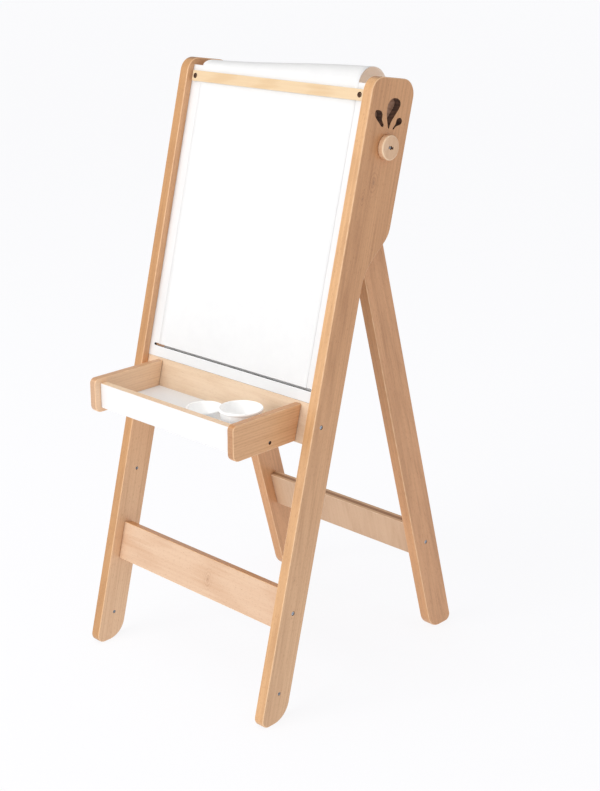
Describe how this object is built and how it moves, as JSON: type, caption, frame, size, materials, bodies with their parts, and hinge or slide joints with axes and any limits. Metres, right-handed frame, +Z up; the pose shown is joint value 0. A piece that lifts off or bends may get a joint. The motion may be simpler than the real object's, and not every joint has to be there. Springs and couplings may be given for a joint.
{
  "type": "easel",
  "caption": "Child's wooden easel: leaning front frame with white board, tray, loose cups and paper roll, and a rear frame that folds flat.",
  "frame": {"origin": "on the floor, in the middle of the easel's footprint", "axes": "+Z up, +X to the right of someone who stands at the board, -Y towards them"},
  "size_m": [0.5056, 0.5768, 1.1336],
  "materials": {
    "beech": "satin lacquered",
    "plywood": "satin lacquered",
    "pine": "satin lacquered",
    "white_board": "smooth white coating",
    "paper": "matt",
    "card": "matt",
    "steel": "zinc plated",
    "nylon": "matt",
    "cup_plastic": "semi-gloss"
  },
  "bodies": {
    "front_frame": {"left_rail": "beech", "right_rail": "beech", "front_stretcher": "beech", "tray_beam": "plywood", "stop_beam": "beech", "top_beam": "beech", "board": "white_board", "clamp_bar": "pine", "paper_sheet": "paper", "tray_floor": "white_board", "tray_front": "white_board", "tray_side_left": "beech", "tray_side_right": "beech", "clamp_screw_left": "steel", "front_stretcher_bolt_left": "steel", "front_stretcher_nut_left": "steel", "tray_beam_screw_left": "steel", "top_beam_dowel_left": "beech", "stop_beam_dowel_left": "beech", "left_foot_insert": "steel", "left_spare_insert": "steel", "floor_screw_left": "steel", "tray_screw_left": "steel", "pivot_bolt_left": "steel", "pivot_washer_left": "nylon", "pivot_insert_left": "steel", "clamp_screw_right": "steel", "front_stretcher_bolt_right": "steel", "front_stretcher_nut_right": "steel", "tray_beam_screw_right": "steel", "top_beam_dowel_right": "beech", "stop_beam_dowel_right": "beech", "right_foot_insert": "steel", "right_spare_insert": "steel", "floor_screw_right": "steel", "tray_screw_right": "steel", "pivot_bolt_right": "steel", "pivot_washer_right": "nylon", "pivot_insert_right": "steel"},
    "rear_frame": {"left_leg": "beech", "right_leg": "beech", "rear_stretcher": "plywood", "rear_stretcher_bolt_left": "steel", "rear_stretcher_nut_left": "steel", "rear_stretcher_bolt_right": "steel", "rear_stretcher_nut_right": "steel"},
    "roll_shaft": {"roll_dowel": "beech", "left_knob": "beech", "right_knob": "beech", "knob_screw_left": "steel", "knob_screw_right": "steel"},
    "roll": {"paper_roll": "paper", "roll_core": "card"},
    "large_cup": {"large_cup": "cup_plastic"},
    "small_cup": {"small_cup": "cup_plastic"}
  },
  "joints": [
    {"name": "rear_frame_fold", "type": "hinge", "parent": "front_frame", "child": "rear_frame", "pos_m": [0, 0.01956, 0.85603], "axis": [-1, 0, 0], "range_deg": [0, 29.9]},
    {"name": "shaft_spin", "type": "hinge", "parent": "front_frame", "child": "roll_shaft", "pos_m": [0, 0.03598, 1.00165], "axis": [1, 0, 0], "continuous": true},
    {"name": "roll_spin", "type": "hinge", "parent": "roll_shaft", "child": "roll", "pos_m": [0, 0.03598, 1.00165], "axis": [1, 0, 0], "continuous": true},
    {"name": "large_cup_lift", "type": "slide", "parent": "front_frame", "child": "large_cup", "axis": [0, 0, 1], "range_m": [0, 0.08]},
    {"name": "small_cup_lift", "type": "slide", "parent": "front_frame", "child": "small_cup", "axis": [0, 0, 1], "range_m": [0, 0.08]}
  ]
}
